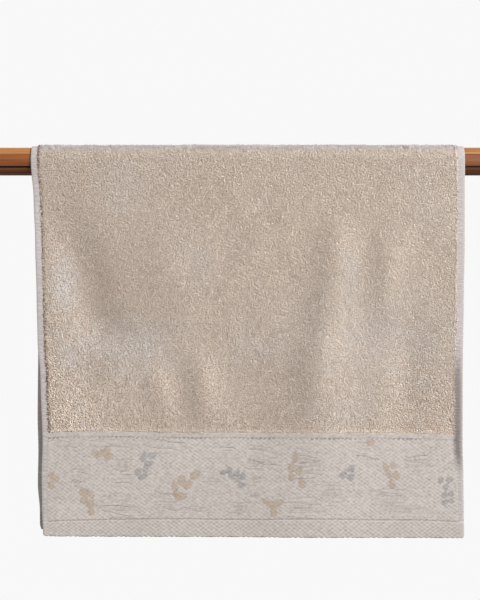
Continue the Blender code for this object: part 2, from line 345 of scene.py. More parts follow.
# %% Charts of the border
Patch = namedtuple("Patch", "across up half_width half_height")
CALM_PATCHES = (
    Patch(42, 75, 15, 7), Patch(94, 76, 13, 13), Patch(83, 107, 33, 6), Patch(142, 103, 20, 8),
    Patch(90, 36, 24, 13), Patch(38, 61, 10, 4), Patch(24, 106, 18, 4), Patch(145, 36, 16, 13),
    Patch(212, 96, 12, 12), Patch(195, 66, 15, 12), Patch(248, 85, 11, 19), Patch(262, 93, 12, 9),
    Patch(176, 31, 20, 6), Patch(230, 33, 14, 8), Patch(247, 57, 9, 11), Patch(309, 85, 18, 20),
    Patch(303, 34, 24, 12), Patch(335, 51, 16, 14), Patch(373, 100, 14, 9), Patch(403, 45, 21, 12),
    Patch(437, 84, 15, 10), Patch(421, 30, 32, 7),
)
Leaf = namedtuple("Leaf", "across up length width turn")
TAN_LEAVES = (
    Leaf(10.9, 70.1, 7.0, 4.4, 120), Leaf(15.2, 68.0, 6.5, 3.8, 140), Leaf(10.4, 60.0, 7.0, 4.0, 100),
    Leaf(62.8, 94.2, 8.0, 4.2, 160), Leaf(69.6, 96.4, 5.4, 3.8, 120), Leaf(75.3, 99.4, 6.5, 4.4, 90),
    Leaf(76.8, 91.6, 7.0, 4.6, 10),
    Leaf(47.1, 52.0, 7.0, 5.0, 120), Leaf(55.8, 49.8, 7.5, 4.0, 125), Leaf(48.4, 43.6, 6.5, 4.6, 60),
    Leaf(56.0, 39.1, 7.0, 4.6, 60), Leaf(57.3, 30.6, 6.5, 4.6, 80),
    Leaf(153.6, 58.6, 8.0, 4.2, 100), Leaf(161.6, 65.4, 7.8, 5.2, 70), Leaf(169.0, 60.2, 7.8, 4.8, 25),
    Leaf(177.6, 71.6, 9.2, 4.6, 40), Leaf(160.8, 47.0, 9.4, 5.2, 15), Leaf(154.6, 49.8, 4.6, 3.6, 60),
    Leaf(258.5, 42.4, 5.5, 3.2, 150), Leaf(265.2, 38.4, 7.2, 4.2, 0), Leaf(275.9, 40.6, 7.5, 4.2, 20),
    Leaf(271.2, 36.4, 5.4, 4.2, 20),
    Leaf(268.7, 29.6, 7.0, 4.6, 90),
    Leaf(293.3, 92.0, 9.0, 3.8, 80), Leaf(289.2, 79.8, 6.5, 4.6, 90), Leaf(298.2, 77.0, 6.5, 4.2, 60),
    Leaf(289.2, 69.6, 6.5, 4.6, 110), Leaf(300.8, 63.4, 8.2, 4.8, 110),
    Leaf(381.7, 108.2, 6.5, 4.0, 10),
    Leaf(398.2, 80.6, 6.6, 4.0, 125), Leaf(406.6, 82.4, 5.6, 3.6, 125), Leaf(402.8, 72.0, 6.4, 4.4, 120),
    Leaf(411.2, 70.6, 6.6, 4.2, 110), Leaf(406.4, 61.4, 7.2, 4.2, 95),
)
BLUE_LEAVES = (
    Leaf(117.8, 91.5, 7.0, 3.9, 75), Leaf(127.6, 93.2, 6.5, 4.2, 15), Leaf(123.6, 84.0, 7.2, 3.9, 15),
    Leaf(111.0, 74.8, 6.0, 4.4, 60), Leaf(119.8, 77.0, 5.2, 4.0, 60), Leaf(116.4, 69.0, 7.4, 3.6, 25),
    Leaf(210.6, 74.2, 6.0, 3.2, 20), Leaf(217.6, 76.2, 5.0, 3.8, 60), Leaf(219.4, 69.4, 5.6, 3.6, 145),
    Leaf(226.0, 73.4, 5.2, 3.8, 60), Leaf(232.8, 70.2, 5.6, 3.8, 100), Leaf(227.4, 65.8, 6.0, 3.4, 0),
    Leaf(231.6, 60.0, 6.6, 3.4, 5),
    Leaf(349.4, 72.0, 6.4, 4.4, 60), Leaf(358.7, 79.0, 6.0, 4.4, 60), Leaf(358.3, 69.2, 6.0, 4.4, 30),
    Leaf(462.8, 65.9, 5.2, 3.8, 60), Leaf(473.0, 65.9, 5.2, 3.8, 45), Leaf(468.8, 57.8, 5.2, 3.8, 60),
    Leaf(467.6, 49.0, 5.4, 3.8, 70), Leaf(475.0, 50.4, 5.0, 3.6, 60), Leaf(467.8, 39.6, 5.6, 3.8, 50),
    Leaf(475.0, 42.4, 5.0, 3.6, 60),
)
MM = 0.001
LEAF_EDGE = 0.40
LEAF_LONGER, LEAF_WIDER = 1.48, 1.72
LEAF_FULL, LEAF_NARROWING, LEAF_TIP = 0.95, 0.25, 0.5
PATCH_EDGE = 0.5
PATCH_SLANT = 0.3


def leaves_at(leaves, across, up):
    """1 inside the leaves of a chart, 0 outside: a rounded base that narrows to the tip."""
    inside = np.zeros(across.shape)
    for leaf in leaves:
        turn = math.radians(leaf.turn)
        right, rise = across - leaf.across * MM, up - leaf.up * MM
        run = (right * math.cos(turn) + rise * math.sin(turn)) / (leaf.length * LEAF_LONGER * MM / 2)
        wide = (rise * math.cos(turn) - right * math.sin(turn)) / (leaf.width * LEAF_WIDER * MM / 2)
        room = 1 - run**2 - (wide / np.maximum(LEAF_FULL - LEAF_NARROWING * run, LEAF_TIP)) ** 2
        inside = np.maximum(inside, soft_step(room, -LEAF_EDGE, LEAF_EDGE))
    return inside


def calm_at(across, up):
    """1 inside the calm patches, 0 where the twill runs."""
    inside = np.zeros(across.shape)
    for patch in CALM_PATCHES:
        right = (across - patch.across * MM) / (patch.half_width * MM)
        rise = (up - patch.up * MM) / (patch.half_height * MM) + PATCH_SLANT * right
        inside = np.maximum(inside, 1 - soft_step(np.hypot(right, rise), 1 - PATCH_EDGE, 1 + PATCH_EDGE / 2))
    return inside


print(f"border chart: {len(CALM_PATCHES)} calm patches, {len(TAN_LEAVES) + len(BLUE_LEAVES)} leaves")

# %% [markdown]
# The wavy lines are drawn by the towel's own arithmetic too: each patch gets lines about 4 mm apart, of
# uneven length, slope and sway. A seeded generator makes the same lines in each run.

# %% Wavy weft lines
LINE_GAP = 0.0043
LINE_HALF_WIDTH = 0.0006
LINE_REACH = 2.3
HALF_SHARES, MIDDLE_SHARES, GAP_SHARES = (0.5, 1.2), (-0.35, 0.35), (-0.25, 0.25)
SLOPES, SWAYS, PACES, STRENGTHS = (-0.22, 0.03), (0.0003, 0.0009), (0.018, 0.036), (0.55, 0.95)
FULL_SHARE = 0.8


def wavy_lines_at(across, up):
    """How deep the wavy lines are at each place, 0 to 1."""
    rng = np.random.default_rng(5)
    depth = np.zeros(across.shape)
    for patch in CALM_PATCHES:
        lines = max(2, round(LINE_REACH * patch.half_height * MM / LINE_GAP))
        for line in range(lines):
            half = patch.half_width * MM * rng.uniform(*HALF_SHARES)
            centre = patch.across * MM + rng.uniform(*MIDDLE_SHARES) * patch.half_width * MM
            height = patch.up * MM + (line - (lines - 1) / 2 + rng.uniform(*GAP_SHARES)) * LINE_GAP
            slope, sway = rng.uniform(*SLOPES), rng.uniform(*SWAYS)
            pace, start = rng.uniform(*PACES), rng.uniform(0, 2 * math.pi)
            strength = rng.uniform(*STRENGTHS)
            path = height + slope * (across - centre)
            path = path + sway * np.sin(2 * math.pi * across / pace + start)
            near = np.exp(-(((up - path) / LINE_HALF_WIDTH) ** 2))
            ends = 1 - soft_step(np.abs(across - centre), half * FULL_SHARE, half)
            depth = np.maximum(depth, strength * near * ends)
    return depth


# %% [markdown]
# ## The ground cloth
#
# The cloth itself is one closed sheet: a grid of faces outside, one inside, and a rim that joins them.
# The outer grid is fine in the front border, where it carries the weave, and coarse under the pile, and
# a row of many-sided faces joins the two. Its UV map holds the two numbers across and along, in metres,
# so that a material can follow the cloth round the pole.

# %% Grid marks
SIDE_MARKS = (0.0, 0.00012, 0.0006, 0.0026, 0.0045)
END_MARKS = (0.0, 0.00012, 0.0006)
THREADS = 384
THREADS_PER_COLUMN = 4
FINE_ROW, PILE_ROW = 0.00096, 0.0080
WRAP_ROWS = 20


def split(marks, pitch):
    """The marks, with even steps no longer than the pitch between them."""
    filled = [marks[0]]
    for low, high in zip(marks, marks[1:]):
        steps = max(1, math.ceil((high - low) / pitch - 1e-6))
        filled += [low + (high - low) * step / steps for step in range(1, steps + 1)]
    return filled


border_rows = list(END_MARKS)
for zone in END_ZONES:
    border_rows = border_rows[:-1] + split([border_rows[-1], zone.top - zone.step / 2], zone.row)
    border_rows.append(zone.top + zone.step / 2)
fine_rows = np.array(split(border_rows, FINE_ROW))
wrap_rows = [FRONT_FALL + WRAP_LENGTH * step / WRAP_ROWS for step in range(WRAP_ROWS + 1)]
upper_rows = (split([border_rows[-1], FRONT_FALL], PILE_ROW)[1:-1] + wrap_rows
              + split([FRONT_FALL + WRAP_LENGTH, LENGTH - border_rows[-1]], PILE_ROW)[1:-1]
              + [LENGTH - mark for mark in reversed(border_rows)])
threads = np.linspace(BORDER_STRIP_WIDTH, TOWEL_WIDTH - BORDER_STRIP_WIDTH, THREADS + 1)
fine_columns = np.concatenate([SIDE_MARKS, threads, TOWEL_WIDTH - np.array(SIDE_MARKS[::-1])])
kept = np.zeros(len(fine_columns), dtype=bool)
sides_end = len(SIDE_MARKS) + THREADS_PER_COLUMN
kept[:sides_end] = kept[-sides_end:] = True
kept[len(SIDE_MARKS):len(SIDE_MARKS) + THREADS + 1:THREADS_PER_COLUMN] = True
coarse = np.flatnonzero(kept)
print(f"fine border {len(fine_columns)} x {len(fine_rows)}, coarse {len(coarse)} x {len(upper_rows)}")

# %% [markdown]
# The weave rule gives each vertex of the front border how far it is sunk, from 0 for a thread on top to 1
# for a gap. A twill's gap moves one thread to the side in each row, so it runs along the diagonal.

# %% The weave rule
TWILL = 5
WEAVE_DEPTH = 0.00045
Weave = namedtuple("Weave", "rest falling rising uneven")
HEM_CHECK = Weave(0.16, 0.32, 0.20, 0.25)
BAND_TWILL = Weave(0.22, 0.25, 0.12, 0.32)
PLAIN_REST, PLAIN_STEP = 0.32, 0.20
CALM_SHARE, ROW_DEPTHS, RIB_GRAIN = 0.8, (0.15, 0.50), (0.0, 0.2)
LEAF_CALM, LEAF_RIM, BLUE_STEP = 0.3, 0.8, 0.25
LEDGE, LEDGE_DEPTH = 0.0014, 0.25
SEAM_DEPTH, SEAM_UNEVEN = 0.8, 0.6
DASH_THREADS, BETWEEN_DASHES, DASH_DEPTH, DASH_UNEVEN = 4, 0.30, 0.80, 0.3
FADE, FADE_PITCH, FADE_START = 0.15, 0.083, 1.0
STITCH_ROWS, STITCH_DEPTHS = 3, (0.3, 0.7)
SIDE_DEPTH, EDGE_DEPTH, EDGE_UNEVEN = 0.4, 0.45, 0.5
NEAR = 1e-6


def twill_gap(steps):
    return 0.5 + 0.5 * np.cos(2 * math.pi * steps / TWILL)


def border_weave(across, along):
    """How far each thread of the front border is sunk, and how much of it is a tan or a blue leaf."""
    rng = np.random.default_rng(8)
    hung = lie(across, along)
    left, right = lie(0.0, HEM_TOP)[0], lie(TOWEL_WIDTH, HEM_TOP)[0]
    chart = (hung[..., 0] - left) / (right - left) * TOWEL_WIDTH, hung[..., 2] + FRONT_FALL
    thread = np.rint((across - threads[0]) / (threads[1] - threads[0])).astype(int)
    row = np.broadcast_to(np.arange(across.shape[0])[:, None], across.shape)
    falling, rising = twill_gap(thread + row), twill_gap(thread - row)
    rough = rng.uniform(-1.0, 1.0, across.shape)
    uneven = (rough + np.roll(rough, 1, 0) + np.roll(rough, 1, 1) + np.roll(rough, (1, 1), (0, 1))) / 4
    check = HEM_CHECK.rest + HEM_CHECK.falling * falling + HEM_CHECK.rising * rising
    check = check + HEM_CHECK.uneven * uneven
    plain = np.where((thread + row) % 2 == 0, PLAIN_STEP, 0.0) + PLAIN_REST * (1 + uneven)

    tan, blue = leaves_at(TAN_LEAVES, *chart), leaves_at(BLUE_LEAVES, *chart)
    leaf = np.maximum(tan, blue)
    ribs = rng.uniform(*ROW_DEPTHS, (across.shape[0], 1)) + rng.uniform(*RIB_GRAIN, across.shape)
    twill = BAND_TWILL.falling * falling + BAND_TWILL.rising * rising
    twill = BAND_TWILL.rest + twill * (1 - LEAF_CALM * leaf)
    band = twill + (ribs - twill) * CALM_SHARE * calm_at(*chart) + BAND_TWILL.uneven * uneven
    band = band + LEAF_RIM * leaf * (1 - leaf) + BLUE_STEP * blue * ((thread + row) % 2)
    band = np.maximum(band, wavy_lines_at(*chart))
    band = band + LEDGE_DEPTH * soft_step(along, BAND_TOP - LEDGE, BAND_TOP)

    seam = SEAM_DEPTH - SEAM_UNEVEN * np.abs(uneven)
    dash = np.where(thread % DASH_THREADS == 0, BETWEEN_DASHES, DASH_DEPTH) + DASH_UNEVEN * uneven
    dash = dash * (1 - FADE + FADE * np.sin(2 * math.pi * across / FADE_PITCH + FADE_START))
    sunk = np.select([along < zone.top for zone in END_ZONES[:4]], [check, seam, band, dash], plain)
    above_hem = along > HEM_TOP
    stitched = (from_sides(across) < BORDER_STRIP_WIDTH + NEAR) & above_hem
    at_side = from_sides(across) < BORDER_STRIP_WIDTH - NEAR
    at_end = from_ends(along) < END_MARKS[-1] + NEAR
    sunk = np.clip(np.where(stitched, np.where(row % STITCH_ROWS == 0, *STITCH_DEPTHS), sunk), 0, 1)
    sunk = np.where(at_end, EDGE_DEPTH + EDGE_UNEVEN * uneven, sunk)
    sunk = np.where(at_side, np.where(above_hem, 0.0, SIDE_DEPTH), sunk)
    in_band = above_hem & (along < BAND_TOP)
    return sunk, tan * in_band, blue * in_band


# %% Small helpers for meshes
def add_piece(name, mesh):
    piece = bpy.data.objects.new(name, mesh)
    bpy.context.collection.objects.link(piece)
    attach(piece, "root")
    return piece


def mesh_of(name, points, faces):
    mesh = bpy.data.meshes.new(name)
    mesh.from_pydata(points.reshape(-1, 3), [], faces)
    mesh.shade_smooth()
    return mesh


def add_values(mesh, name, values):
    """A number for each point, for a material to read."""
    mesh.attributes.new(name, "FLOAT", "POINT").data.foreach_set("value", values.ravel())


def triangles(mesh):
    return sum(len(face.vertices) - 2 for face in mesh.polygons)


def quads(grid):
    return np.stack([grid[:-1, :-1], grid[:-1, 1:], grid[1:, 1:], grid[1:, :-1]], axis=-1).reshape(-1, 4)


# %% Weave the ground cloth
FLAT_WEAVE_SLOT, SIDE_HEM_SLOT, PILE_GROUND_SLOT = range(3)
SCALLOP, SCALLOP_PITCH = 0.0004, 0.006


def ground_cloth():
    coarse_columns = fine_columns[coarse]
    border = np.meshgrid(fine_columns, fine_rows)
    upper = np.meshgrid(coarse_columns, upper_rows)
    inside = np.meshgrid(coarse_columns, border_rows + upper_rows)
    sunk, tan, blue = border_weave(*border)
    points, starts, places = [], [], []
    for (across, along), face, drop in ((border, 0, sunk), (upper, 0, 0.0), (inside, 1, 0.0)):
        point, _, way_along, out = cloth_axes(across, along)
        height = face_heights(across, along)[face] - WEAVE_DEPTH * drop
        shift = SCALLOP * np.cos(2 * math.pi * across / SCALLOP_PITCH) * (along < END_MARKS[1] + 1e-9)
        starts.append(sum(len(part) for part in points))
        points.append((point + out * height[..., None] + way_along * shift[..., None]).reshape(-1, 3))
        places.append(np.stack([across.ravel(), along.ravel()], axis=-1))
    numbers = [start + np.arange(grid[0].size).reshape(grid[0].shape)
               for start, grid in zip(starts, (border, upper, inside))]
    low, high, under = numbers

    spans = [range(start, end + 1) for start, end in zip(coarse, coarse[1:])]
    faces = [*quads(low).tolist(), *quads(high).tolist(), *quads(under)[:, ::-1].tolist()]
    for column, span in enumerate(spans):
        faces.append([low[-1, i] for i in span] + [high[0, column + 1], high[0, column]])
        faces.append([low[0, i] for i in reversed(span)] + [under[0, column], under[0, column + 1]])
        faces.append([high[-1, column], high[-1, column + 1], under[-1, column + 1], under[-1, column]])
    marks = np.searchsorted(fine_rows, np.array(border_rows) - 1e-9)
    for row, (start, end) in enumerate(zip(marks, marks[1:])):
        rise = range(start, end + 1)
        faces.append([low[i, 0] for i in rise] + [under[row + 1, 0], under[row, 0]])
        faces.append([low[i, -1] for i in reversed(rise)] + [under[row, -1], under[row + 1, -1]])
    last = len(border_rows) - 1
    joined = [(low[-1], high[0], under[last], under[last + 1])]
    joined += [(high[i], high[i + 1], under[last + 1 + i], under[last + 2 + i]) for i in range(len(high) - 1)]
    for near, far, near_under, far_under in joined:
        faces.append([near[0], far[0], far_under[0], near_under[0]])
        faces.append([far[-1], near[-1], near_under[-1], far_under[-1]])

    mesh = mesh_of("towel_cloth", np.concatenate(points), faces)
    places = np.concatenate(places)
    corners = np.empty(len(mesh.loops), dtype=np.int32)
    mesh.loops.foreach_get("vertex_index", corners)
    mesh.uv_layers.new(name="cloth").data.foreach_set("uv", places[corners].ravel())
    for name, values in (("sunk", sunk), ("leaf_tan", tan), ("leaf_blue", blue)):
        full = np.zeros(len(places))
        full[:values.size] = values.ravel()
        add_values(mesh, name, full)

    centres = np.array([places[list(face)].mean(axis=0) for face in faces])
    from_end = from_ends(centres[:, 1])
    in_strip = (from_sides(centres[:, 0]) < strip_width(centres[:, 1])) & (from_end > HEM_TOP)
    in_pile = from_end > PILE_START
    slots = np.where(in_strip, SIDE_HEM_SLOT, np.where(in_pile, PILE_GROUND_SLOT, FLAT_WEAVE_SLOT))
    mesh.polygons.foreach_set("material_index", slots.astype(np.int32))
    return add_piece("towel_cloth", mesh)


towel_cloth = ground_cloth()
print("ground cloth:", triangles(towel_cloth.data), "triangles")
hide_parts("towel")

# %% [markdown]
# ## The terry loops
#
# Terry is woven with a slack set of warp threads that stand up as loops on both faces. Each loop we see is
# a soft bent length of twisted yarn, about 3 mm long. We could fake them with bump, but the towel's outline
# and its soft shadows come from real loops, so each is a small closed mesh: two tips down at the ground,
# and a ring of three points between. Nearly 120,000 are joined from arrays. They hang down a little, as
# loops do in a worn towel, and lie at all angles round that. The back, of which less is seen, has fewer
# and larger ones.
#
# In some patches the pile stands, and in others it is pressed flat, so the loops' height follows a slow
# wave over the cloth. Two tables of soft spots say where they look bigger and where their colour is painted
# paler: partly the yarn's own paler patches, partly painted light where the folds catch the light.

# %% One loop's shape
RING_SIDES = 3
LoopPoint = namedtuple("LoopPoint", "place rise")
LOOP_POINTS = (LoopPoint(-0.50, -0.25), LoopPoint(0.05, 0.90), LoopPoint(0.50, 0.00))


def loop_faces():
    """The faces of one loop, by the numbers of its points: a tip, a ring and a tip."""
    faces = []
    for side in range(RING_SIDES):
        after = (side + 1) % RING_SIDES
        faces += [(0, 1 + after, 1 + side), (1 + side, 1 + after, 1 + RING_SIDES)]
    return np.array(faces)


# %% Where the pile stands and where it is pale
Spot = namedtuple("Spot", "across fall half_width half_height more")
FLUFFY_PATCHES = (
    Spot(0.030, 0.210, 0.025, 0.160, 0.20), Spot(0.090, 0.240, 0.080, 0.060, 0.25),
    Spot(0.150, 0.290, 0.200, 0.035, 0.20), Spot(0.400, 0.290, 0.120, 0.040, 0.05),
    Spot(0.465, 0.250, 0.030, 0.070, 0.10),
    Spot(0.250, 0.110, 0.110, 0.090, -0.20), Spot(0.330, 0.200, 0.050, 0.060, -0.15),
    Spot(0.420, 0.100, 0.080, 0.120, -0.15),
)
PALE_AND_LIT_PATCHES = (
    Spot(0.100, 0.029, 0.030, 0.036, 0.55), Spot(0.187, 0.114, 0.034, 0.026, 0.60),
    Spot(0.032, 0.140, 0.015, 0.028, 1.30), Spot(0.111, 0.209, 0.052, 0.030, 0.90),
    Spot(0.248, 0.209, 0.034, 0.018, 0.60), Spot(0.387, 0.198, 0.095, 0.055, 0.85),
    Spot(0.361, 0.118, 0.012, 0.040, 0.60), Spot(0.444, 0.044, 0.040, 0.050, 0.45),
    Spot(0.037, 0.215, 0.022, 0.030, 0.60), Spot(0.361, 0.283, 0.034, 0.020, 0.55),
)
PATCH_WAVES = 30
PATCH_SIZES = (0.006, 0.070)
PATCH_RISE = 0.2


def spots_at(spots, across, along):
    """The sum of soft round spots on the front fall, each with its own strength."""
    total = np.zeros(np.shape(across))
    for spot in spots:
        right = (across - spot.across) / spot.half_width
        down = (fall_of(along) - spot.fall) / spot.half_height
        total += side_of(along, spot.more, 0.0) * np.exp(-(right**2) - down**2)
    return total


def standing(across, along):
    """How far the pile stands up at each place, 1 on average, and how big its loops look there."""
    rng = np.random.default_rng(77)
    wave = np.zeros(np.shape(across))
    for _ in range(PATCH_WAVES):
        way, start = rng.uniform(0, math.pi), rng.uniform(0, 2 * math.pi)
        pace = np.exp(rng.uniform(*np.log(PATCH_SIZES)))
        wave += np.sin(2 * math.pi * (across * math.cos(way) + along * math.sin(way)) / pace + start)
    rise = 1.0 + PATCH_RISE * np.tanh(wave / math.sqrt(PATCH_WAVES))
    return rise, rise + spots_at(FLUFFY_PATCHES, across, along)


# %% [markdown]
# Each loop carries three values for the yarn's material. Its tone runs from 0 to 1 at random, and below 0
# along the pile's left edge, which turns from the light: that part is painted shade on those loops. Its
# paleness comes from the table above. And the way out of the cloth lets the material soften its shading,
# because real yarn is hairy and has no sharp facets.

# %% Loops as one mesh
SIZES, HEIGHTS, WIDTHS = (0.7, 1.3), (0.55, 1.25), (0.75, 1.25)
BEND = 0.22
PILE_FOOT = PILE_START + 0.0010
LOOSE_EDGE, TAPER, SHORTEST = 0.0009, 0.007, 0.4
LEFT_SHADOW = (SIDE_STRIP_WIDTH - 0.001, SIDE_STRIP_WIDTH + 0.0035)
LEFT_SHADE, LEFT_SHORTER = 3.0, 0.2
TOP_RISE, TOP_LONGER = 0.015, 0.5
FEW_DARK = 0.30


def loops_piece(name, across, along, turn, seed, length, width, tall):
    """Loops of yarn at the given places on the cloth, as one mesh. A turn of 0 points down the fall."""
    rng = np.random.default_rng(seed)
    count = len(across)
    place, way_across, way_along, out = cloth_axes(across, along)
    base = face_heights(across, along)[0]
    rise, bulk = standing(across, along)
    size = rng.uniform(*SIZES, count) * (1 + bulk) / 2
    down = side_of(along, -1.0, 1.0) * np.cos(turn)
    way = way_across * np.sin(turn)[:, None] + way_along * down[:, None]
    side = np.cross(out, way)
    bend = rng.normal(0.0, BEND, count) * length
    taper = SHORTEST + (1 - SHORTEST) * soft_step(from_ends(along), PILE_FOOT - LOOSE_EDGE, PILE_FOOT + TAPER)
    left_edge = 1 - soft_step(across, *LEFT_SHADOW)
    longer = 1 + TOP_LONGER * soft_step(-fall_of(along), 0.0, TOP_RISE) - LEFT_SHORTER * left_edge
    height = tall * rng.uniform(*HEIGHTS, count) * rise * taper * longer
    thick = width / 2 * rng.uniform(*WIDTHS, count) * bulk
    spin = rng.uniform(0, 2 * math.pi, count)

    def at(point):
        bow = bend * (1 - (2 * point.place) ** 2)
        run = point.place * length * size
        return (place + way * run[:, None] + side * bow[:, None]
                + out * (base + point.rise * height)[:, None])

    low_tip, crown, far_tip = (at(point) for point in LOOP_POINTS)
    ahead = unit(far_tip - low_tip)
    sideways = unit(np.cross(out, ahead))
    upward = np.cross(ahead, sideways)
    ring = []
    for corner in range(RING_SIDES):
        angle = spin + 2 * math.pi * corner / RING_SIDES
        ray = sideways * np.cos(angle)[:, None] + upward * np.sin(angle)[:, None]
        ring.append(crown + ray * thick[:, None])
    points = np.stack([low_tip, *ring, far_tip], axis=1)
    each = points.shape[1]
    faces = (loop_faces()[None] + (np.arange(count) * each)[:, None, None]).reshape(-1, 3)
    mesh = mesh_of(name, points, faces.tolist())
    # A random tone, less painted shade along the pile's left edge, which darkens those loops below 0.
    tone_and_shade = rng.uniform(0, 1, count) ** FEW_DARK - LEFT_SHADE * rng.uniform(0, 1, count) * left_edge
    add_values(mesh, "yarn_tone_and_shade", np.repeat(tone_and_shade, each))
    add_values(mesh, "pale", np.repeat(spots_at(PALE_AND_LIT_PATCHES, across, along), each))
    way_out = mesh.attributes.new("way_out", "FLOAT_VECTOR", "POINT")
    way_out.data.foreach_set("vector", np.repeat(out, each, axis=0).ravel())
    piece = add_piece(name, mesh)
    print(f"{name}: {count} loops, {len(faces)} triangles")
    return piece


# %% Set the loops
FRONT_PITCH, BACK_PITCH = 0.00131, 0.0026
LOOP_SPREAD = 0.8
JITTER = 0.48
SIDES_FILLED, ENDS_FILLED = 0.3, (0.02, 0.9)
PILE_LEFT, PILE_RIGHT = SIDE_STRIP_WIDTH, TOWEL_WIDTH - SIDE_STRIP_WIDTH
WRAP_TOP = FRONT_FALL + WRAP_LENGTH * 0.6


def scatter(low_across, high_across, low_along, high_along, pitch, seed):
    """Places on a staggered grid, each moved a little at random, and a turn for each."""
    rng = np.random.default_rng(seed)
    wide = np.arange(low_across, high_across, pitch)
    tall = np.arange(low_along, high_along, pitch)
    across, along = np.meshgrid(wide, tall)
    across = across + (np.arange(len(tall)) % 2)[:, None] * pitch / 2
    across = across + rng.uniform(-JITTER, JITTER, across.shape) * pitch
    along = along + rng.uniform(-JITTER, JITTER, along.shape) * pitch
    across, along = across.ravel(), along.ravel()
    chance = soft_step(from_ends(along), PILE_FOOT - LOOSE_EDGE, PILE_FOOT + LOOSE_EDGE)
    sides = soft_step(from_sides(across), SIDE_STRIP_WIDTH, SIDE_STRIP_WIDTH + PILE_EDGE)
    keep = (across < high_across) & (sides > SIDES_FILLED)
    keep &= chance > rng.uniform(*ENDS_FILLED, across.shape)
    across, along = across[keep], along[keep]
    return across, along, rng.normal(0.0, LOOP_SPREAD, len(across))


Field = namedtuple("Field", "side strips low_along high_along pitch seed size")
FIELDS = (
    Field("front", ("left", "mid_left", "mid_right", "right"), PILE_FOOT - LOOSE_EDGE, WRAP_TOP,
          FRONT_PITCH, 11, (0.0026, 0.0012, 0.0012)),
    Field("back", ("left", "right"), WRAP_TOP, LENGTH - PILE_FOOT + LOOSE_EDGE,
          BACK_PITCH, 31, (0.0050, 0.0027, 0.0011)),
)
pile = []
for field in FIELDS:
    marks = [PILE_LEFT + (PILE_RIGHT - PILE_LEFT) * index / len(field.strips)
             for index in range(len(field.strips) + 1)]
    for index, strip in enumerate(field.strips):
        places = scatter(*marks[index:index + 2], field.low_along, field.high_along, field.pitch,
                         field.seed + index)
        name = f"{field.side}_pile_{strip}"
        pile.append(loops_piece(name, *places, field.seed + 10 + index, *field.size))

# %% [markdown]
# The pile ends in a ragged fringe. Two rows of loops along each side lean out over the flat side hems, and
# rows at the pile's two feet hang down over the flat strips.

# %% Fringe loops
FRINGE_PITCH = 0.0016
FRINGE_LEAN, FRINGE_SPREAD = 1.5, 0.45
FRINGE_ACROSS, FRINGE_ALONG = (-0.7, 0.6), (-0.5, 0.5)


def fringe_places():
    rng = np.random.default_rng(51)
    rises = np.arange(PILE_FOOT, LENGTH - PILE_FOOT, FRINGE_PITCH)
    widths = np.arange(PILE_LEFT, PILE_RIGHT, FRINGE_PITCH)
    sides = [(np.full(len(rises), edge + lean * inset), rises, FRINGE_LEAN * -lean)
             for edge, lean in ((PILE_LEFT, 1), (PILE_RIGHT, -1)) for inset in (0.0, PILE_EDGE)]
    ends = [(widths, np.full(len(widths), edge), 0.0)
            for edge in (PILE_FOOT, PILE_FOOT + FRINGE_PITCH, LENGTH - PILE_FOOT - FRINGE_PITCH)]
    across, along, turn = [], [], []
    for wide, tall, way in sides + ends:
        across.append(wide + rng.uniform(*FRINGE_ACROSS, len(wide)) * FRINGE_PITCH)
        along.append(tall + rng.uniform(*FRINGE_ALONG, len(wide)) * FRINGE_PITCH)
        turn.append(way + rng.normal(0.0, FRINGE_SPREAD, len(wide)))
    return np.concatenate(across), np.concatenate(along), np.concatenate(turn)


pile.append(loops_piece("pile_fringe", *fringe_places(), 52, 0.0027, 0.0012, 0.0010))

# %% [markdown]
# ## The pole
#
# It is a plain turned pole with a satin varnish and one fine joint line along it, low on the front. The
# solid has 48 flat sides, and a varnish shows them, so we turn a finer one: a cylinder of many sides. The
# joint line is a groove that runs its whole length, so one line of its vertices is pulled in towards the
# axis, and a small bevel eases the end rims and the groove's lips.

# %% Turn the pole
POLE_SIDES = 120
JOINT_LINE_ANGLE = math.radians(28)
JOINT_LINE_DEPTH = 0.0012
POLE_TURN = math.radians(1)
EASED = 0.00035
SHARP, ROUND = math.radians(40), math.radians(35)

bpy.ops.object.select_all(action="DESELECT")
bpy.ops.mesh.primitive_cylinder_add(
    vertices=POLE_SIDES, radius=POLE_RADIUS, depth=POLE_LENGTH,
    location=(POLE_LENGTH / 2, 0, 0), rotation=(0, math.pi / 2, 0))
pole_wood = bpy.context.object
pole_wood.name = "pole_wood"
bpy.ops.object.transform_apply(location=True, rotation=True, scale=True)
pole_wood.rotation_euler = (POLE_TURN, 0, 0)
bpy.ops.object.transform_apply(location=True, rotation=True, scale=True)


def below_front(place):
    """The angle of a place round the pole, from the front downwards."""
    return math.atan2(-place.z, -place.y)


bpy.ops.object.mode_set(mode="EDIT")
bpy.ops.mesh.select_mode(type="VERT")
shape = bmesh.from_edit_mesh(pole_wood.data)
for vertex in shape.verts:
    vertex.select_set(abs(below_front(vertex.co) - JOINT_LINE_ANGLE) < math.pi / POLE_SIDES)
shape.select_flush_mode()
bmesh.update_edit_mesh(pole_wood.data)
inward = (0.0, math.cos(JOINT_LINE_ANGLE) * JOINT_LINE_DEPTH, math.sin(JOINT_LINE_ANGLE) * JOINT_LINE_DEPTH)
print("groove vertices:", sum(vertex.select for vertex in shape.verts))
bpy.ops.transform.translate(value=inward)
bpy.ops.object.mode_set(mode="OBJECT")
bevel = pole_wood.modifiers.new("eased edges", "BEVEL")
bevel.width, bevel.segments = EASED, 2
bevel.limit_method, bevel.angle_limit = "ANGLE", SHARP
bpy.ops.object.modifier_apply(modifier=bevel.name)
bpy.ops.object.shade_smooth_by_angle(angle=ROUND)
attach(pole_wood, "root")
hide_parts("pole")
print("pole:", triangles(pole_wood.data), "triangles")

# %% [markdown]
# ## Materials
#
# Cotton is matte, with a faint sheen at grazing angles from its loose fibres. Its colour is never one
# value: each loop has its own tone, and wide soft patches run through the field. The gaps between threads
# are painted darker, as painted shade. A small helper wires the nodes, so that each material reads as a
# short list.


# %% Node helpers
NOISE_SPREAD = (0.35, 0.65)


